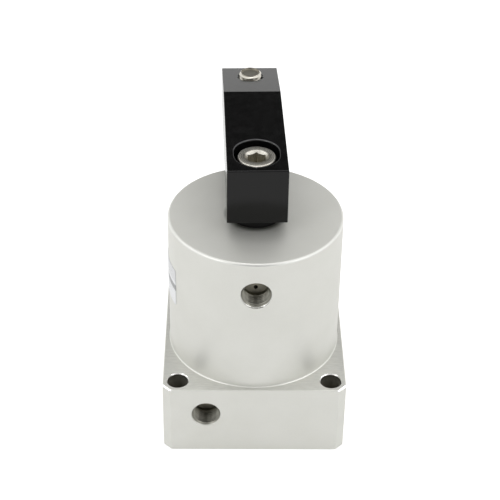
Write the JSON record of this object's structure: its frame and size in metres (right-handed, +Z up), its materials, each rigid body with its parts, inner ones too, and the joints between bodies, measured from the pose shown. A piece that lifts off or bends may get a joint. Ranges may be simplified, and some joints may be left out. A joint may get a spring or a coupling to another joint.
{
  "type": "swing clamp cylinder",
  "caption": "Double-acting air cylinder whose rod lifts and turns a black clamp arm: square foot with bolt holes, round aluminium barrel, tapped air ports.",
  "frame": {"origin": "on the rod's axis at the underside of the square foot", "axes": "+Z up along the rod, -Y towards the air ports, clamp arm pointing to +Y at rest"},
  "size_m": [0.0636, 0.0991, 0.1035],
  "materials": {
    "anodised_aluminium": "fine satin, clear anodised",
    "machined_aluminium": "turned",
    "black_oxide_steel": "ground and black oxidised",
    "hardened_steel": "ground",
    "stainless_steel": "bright",
    "chromed_rod": "ground and hard chromed",
    "spring_steel": "phosphated",
    "rubber": "matt",
    "wear_ring_plastic": "matt",
    "bumper": "matt urethane",
    "bronze": "sintered bronze",
    "label_film": "blank silver-white film"
  },
  "bodies": {
    "housing_body": {"housing": "anodised_aluminium", "bottom_cover": "machined_aluminium", "cover_snap_ring": "spring_steel", "cover_o_ring": "rubber", "cover_dowel": "hardened_steel", "guide_shaft": "hardened_steel", "shaft_cross_pin": "hardened_steel", "lower_bumper": "bumper", "upper_bumper": "bumper", "rod_bushing": "bronze", "rod_seal": "rubber", "rod_scraper": "rubber", "type_label": "label_film"},
    "piston_rings": {"piston_seal": "rubber", "piston_wear_ring": "wear_ring_plastic"},
    "rod_and_arm": {"piston": "machined_aluminium", "piston_nut": "hardened_steel", "piston_o_ring": "rubber", "piston_rod": "chromed_rod", "guide_pin_a": "hardened_steel", "guide_pin_b": "hardened_steel", "clamp_arm": "black_oxide_steel", "arm_screw": "stainless_steel", "clamp_lock_nut": "stainless_steel"},
    "clamp_bolt": {"clamp_bolt": "stainless_steel"}
  },
  "joints": [
    {"name": "rod_lift", "type": "slide", "parent": "housing_body", "child": "piston_rings", "axis": [0, 0, 1], "range_m": [0, 0.028]},
    {"name": "arm_swing", "type": "hinge", "parent": "piston_rings", "child": "rod_and_arm", "pos_m": [0, 0, 0], "axis": [0, 0, 1], "range_deg": [0, 90]},
    {"name": "clamp_bolt_adjust", "type": "slide", "parent": "rod_and_arm", "child": "clamp_bolt", "axis": [0, 0, 1], "range_m": [-0.006, 0.004]}
  ],
  "couplings": [
    {"joint": "arm_swing", "follows": "rod_lift", "rad_per_m": 56.1}
  ]
}
